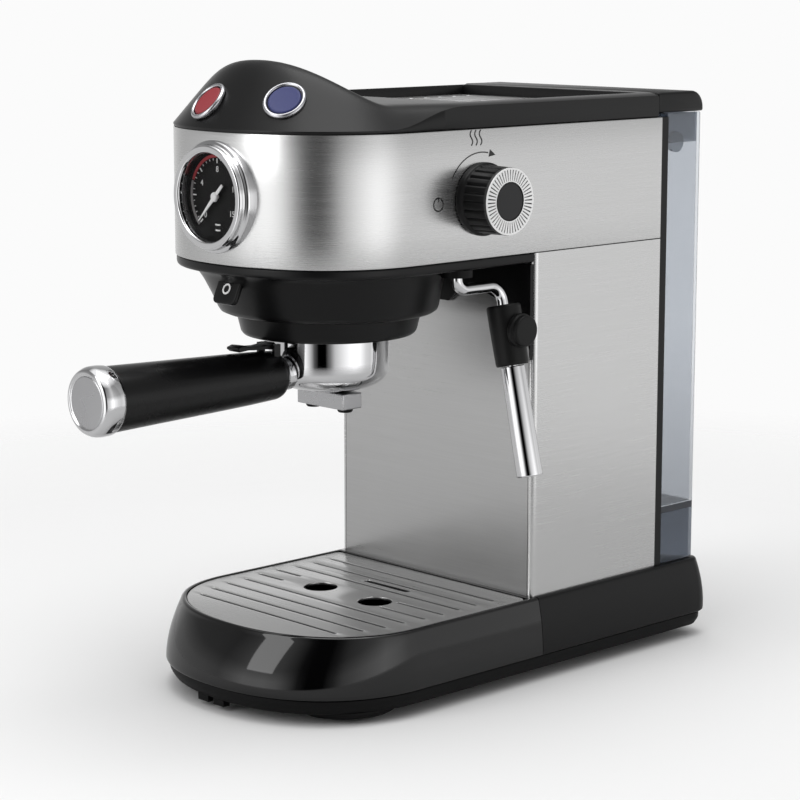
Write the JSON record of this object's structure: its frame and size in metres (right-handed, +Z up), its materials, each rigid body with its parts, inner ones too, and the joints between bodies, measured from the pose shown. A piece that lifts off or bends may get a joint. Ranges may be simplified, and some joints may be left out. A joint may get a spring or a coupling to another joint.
{
  "type": "espresso machine",
  "caption": "Slim pump espresso machine with a steel column and head, portafilter, pressure gauge, steam wand, drip tray and rear water tank.",
  "frame": {"origin": "centre of the base footprint, on the table under the feet", "axes": "+Z up, -Y to the front (portafilter handle), +X to the side with the steam knob and wand"},
  "size_m": [0.1725, 0.3683, 0.3218],
  "materials": {
    "brushed_steel": "satin",
    "chrome": "polished",
    "black_gloss": "glossy",
    "black_satin": "satin",
    "black_matte": "matte",
    "rubber": "matte",
    "gasket_rubber": "matte",
    "zinc_steel": "satin",
    "cast_aluminium": "cast",
    "brass": "satin",
    "board_green": "satin",
    "hose_clear": "satin",
    "tank_clear": "clear",
    "glass": "clear",
    "red_cap": "satin",
    "blue_cap": "satin",
    "white_print": "matte",
    "silver_paint": "satin",
    "dark_grey": "matte",
    "tank_grey": "satin"
  },
  "bodies": {
    "machine": {"base_plate": "black_matte", "base_housing": "black_satin", "foot_pads": "rubber", "base_screws": "zinc_steel", "chassis": "zinc_steel", "front_panel": "brushed_steel", "side_panel_right": "brushed_steel", "side_panel_left": "brushed_steel", "rear_cover": "black_satin", "head_bracket": "black_satin", "head_band": "brushed_steel", "top_cover": "black_satin", "cup_grille": "brushed_steel", "group_housing": "black_satin", "lock_mark": "black_satin", "group_collar": "cast_aluminium", "group_gasket": "gasket_rubber", "shower_screen": "brushed_steel", "shower_screw": "zinc_steel", "thermoblock": "cast_aluminium", "pump": "black_matte", "pump_mounts": "rubber", "solenoid_valve": "brass", "steam_valve": "brass", "inlet_hose": "hose_clear", "brew_hose": "hose_clear", "steam_hose": "hose_clear", "control_board": "board_green", "tank_seat": "black_matte", "cord_gland": "rubber", "gauge_can": "black_matte", "gauge_dial": "black_matte", "gauge_bezel": "chrome", "gauge_glass": "glass", "button_rings": "silver_paint", "button_switches": "black_matte", "wand_pivot": "black_matte"},
    "needle": {"gauge_needle": "white_print"},
    "cap_red": {"button_red": "red_cap"},
    "cap_blue": {"button_blue": "blue_cap"},
    "knob": {"steam_knob": "black_satin", "knob_ring": "silver_paint", "knob_disc": "dark_grey"},
    "wand": {"wand_pipe": "chrome", "wand_grip": "rubber"},
    "sleeve": {"wand_sleeve": "chrome"},
    "portafilter": {"portafilter_body": "chrome", "filter_basket": "brushed_steel", "spout_block": "chrome", "spout_tips": "black_matte", "handle_grip": "black_satin", "handle_cap": "chrome"},
    "clip": {"basket_clip": "black_satin"},
    "tray": {"drip_tray": "black_gloss"},
    "grid": {"drip_grid": "brushed_steel"},
    "tank": {"water_tank": "tank_clear", "tank_valve": "black_matte", "tank_grip": "tank_grey"},
    "lid": {"tank_lid": "black_satin"},
    "plunger": {"valve_plunger": "zinc_steel"}
  },
  "joints": [
    {"name": "portafilter_turn", "type": "hinge", "parent": "machine", "child": "portafilter", "pos_m": [0, -0.0665, 0.18], "axis": [0, 0, 1], "range_deg": [-45, 0]},
    {"name": "clip_flip", "type": "hinge", "parent": "portafilter", "child": "clip", "pos_m": [0, -0.107, 0.1808], "axis": [-1, 0, 0], "range_deg": [0, 22]},
    {"name": "tray_slide", "type": "slide", "parent": "machine", "child": "tray", "axis": [0, -1, 0], "range_m": [0, 0.17]},
    {"name": "grid_lift", "type": "slide", "parent": "tray", "child": "grid", "axis": [0, 0, 1], "range_m": [0, 0.06]},
    {"name": "tank_lift", "type": "slide", "parent": "machine", "child": "tank", "axis": [0, 0, 1], "range_m": [0, 0.262]},
    {"name": "lid_hinge", "type": "hinge", "parent": "tank", "child": "lid", "pos_m": [0, 0.1383, 0.2929], "axis": [-1, 0, 0], "range_deg": [0, 75]},
    {"name": "plunger_slide", "type": "slide", "parent": "tank", "child": "plunger", "axis": [0, 0, 1], "range_m": [0, 0.002], "stiffness_N_per_m": 150},
    {"name": "red_press", "type": "slide", "parent": "machine", "child": "cap_red", "axis": [0.144, 0.7408, -0.6561], "range_m": [0, 0.002], "stiffness_N_per_m": 500},
    {"name": "blue_press", "type": "slide", "parent": "machine", "child": "cap_blue", "axis": [-0.332, 0.6516, -0.682], "range_m": [0, 0.002], "stiffness_N_per_m": 500},
    {"name": "knob_turn", "type": "hinge", "parent": "machine", "child": "knob", "pos_m": [0.073, -0.0308, 0.2539], "axis": [1, 0, 0], "range_deg": [-120, 0]},
    {"name": "wand_swing", "type": "hinge", "parent": "machine", "child": "wand", "pos_m": [0.063, -0.0375, 0.208], "axis": [0, 0, 1], "range_deg": [-100, 0]},
    {"name": "sleeve_pull", "type": "slide", "parent": "wand", "child": "sleeve", "axis": [0.2233, 0, -0.9748], "range_m": [0, 0.065]},
    {"name": "needle_sweep", "type": "hinge", "parent": "machine", "child": "needle", "pos_m": [0, -0.146, 0.2569], "axis": [0, 1, 0], "range_deg": [0, 270]}
  ]
}
